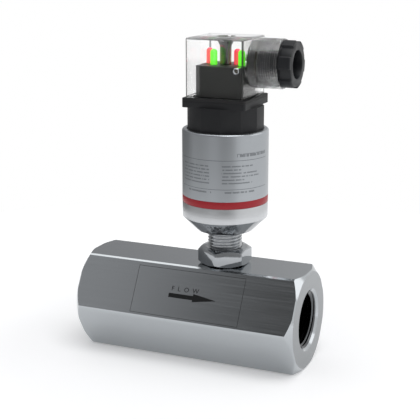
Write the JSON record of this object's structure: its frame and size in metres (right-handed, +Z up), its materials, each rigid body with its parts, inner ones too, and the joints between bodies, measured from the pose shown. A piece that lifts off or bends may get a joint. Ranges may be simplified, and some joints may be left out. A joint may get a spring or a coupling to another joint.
{
  "type": "turbine flow meter",
  "caption": "In-line turbine flow meter: hexagonal threaded body with a helical rotor, pickup neck, round electronics housing and clear right-angle plug with lamps.",
  "frame": {"origin": "centre of the lower flat of the hexagonal body, on the surface that it lies on", "axes": "+X the way the liquid flows, along the bore; +Z up through the pickup neck; +Y the rest of a right-handed frame"},
  "size_m": [0.11, 0.0524, 0.1515],
  "materials": {
    "body_steel": "polished and plated steel bar",
    "turned_steel": "finely turned stainless steel",
    "thread_steel": "cut thread, stainless steel",
    "nut_steel": "nickel-plated steel",
    "vane_steel": "machined stainless steel",
    "rotor_steel": "milled ferritic stainless steel",
    "shaft_steel": "ground hard metal pin",
    "bearing_graphite": "carbon-filled bearing plastic",
    "spring_steel": "phosphated spring steel",
    "bobbin_plastic": "moulded nylon",
    "coil_copper": "enamelled copper wire",
    "pole_iron": "soft iron",
    "magnet_nickel": "nickel-plated magnet",
    "seal_rubber": "nitrile rubber",
    "accent_red": "red anodised ring, satin",
    "sleeve_silver": "satin anodised aluminium",
    "board_green": "solder-masked laminate",
    "component_black": "moulded packages",
    "base_black": "glass-filled nylon, fine grain",
    "pin_tin": "tin-plated brass",
    "block_grey": "glass-filled nylon, fine grain",
    "socket_brass": "bare brass",
    "screw_steel": "zinc-plated steel",
    "led_green": "tinted epoxy, lit",
    "led_red": "tinted epoxy, lit",
    "cap_clear": "clear polycarbonate, moulded",
    "gland_black": "moulded nylon, satin"
  },
  "bodies": {
    "flow_body": {"hex_body": "body_steel", "inlet_straightener": "vane_steel", "outlet_support": "vane_steel", "inlet_bearing": "bearing_graphite", "outlet_bearing": "bearing_graphite", "inlet_retaining_ring": "spring_steel", "outlet_retaining_ring": "spring_steel"},
    "turbine": {"rotor": "rotor_steel", "rotor_shaft": "shaft_steel"},
    "sensor_head": {"sensor_stub": "thread_steel", "coil_bobbin": "bobbin_plastic", "pickup_coil": "coil_copper", "pole_piece": "pole_iron", "pickup_magnet": "magnet_nickel", "lower_housing": "turned_steel", "housing_o_ring": "seal_rubber", "accent_ring": "accent_red", "housing_sleeve": "sleeve_silver", "circuit_board": "board_green", "board_components": "component_black", "connector_base": "base_black", "contact_pins": "pin_tin", "earth_pin": "pin_tin", "profile_gasket": "seal_rubber"},
    "neck_nut": {"lock_nut": "nut_steel"},
    "plug": {"terminal_block": "block_grey", "terminal_sleeves": "socket_brass", "terminal_screws": "screw_steel", "green_leds": "led_green", "red_leds": "led_red", "plug_housing": "cap_clear", "gland_grommet": "seal_rubber", "gland_washer": "screw_steel"},
    "cable_nut": {"gland_nut": "gland_black"},
    "plug_screw": {"fixing_screw": "screw_steel"}
  },
  "joints": [
    {"name": "rotor_spin", "type": "hinge", "parent": "flow_body", "child": "turbine", "pos_m": [0.013, 0, 0.023], "axis": [1, 0, 0], "continuous": true},
    {"name": "head_swivel", "type": "hinge", "parent": "flow_body", "child": "sensor_head", "pos_m": [0.013, 0, 0.05], "axis": [0, 0, 1], "range_deg": [-180, 180]},
    {"name": "lock_nut_turn", "type": "hinge", "parent": "sensor_head", "child": "neck_nut", "pos_m": [0.013, 0, 0.05], "axis": [0, 0, 1], "continuous": true},
    {"name": "plug_pull", "type": "slide", "parent": "sensor_head", "child": "plug", "axis": [0, 0, 1], "range_m": [0, 0.014]},
    {"name": "gland_nut_turn", "type": "hinge", "parent": "plug", "child": "cable_nut", "pos_m": [0.044, 0, 0.1403], "axis": [1, 0, 0], "continuous": true},
    {"name": "plug_screw_turn", "type": "hinge", "parent": "plug", "child": "plug_screw", "pos_m": [0.013, 0, 0.149], "axis": [0, 0, 1], "continuous": true}
  ]
}
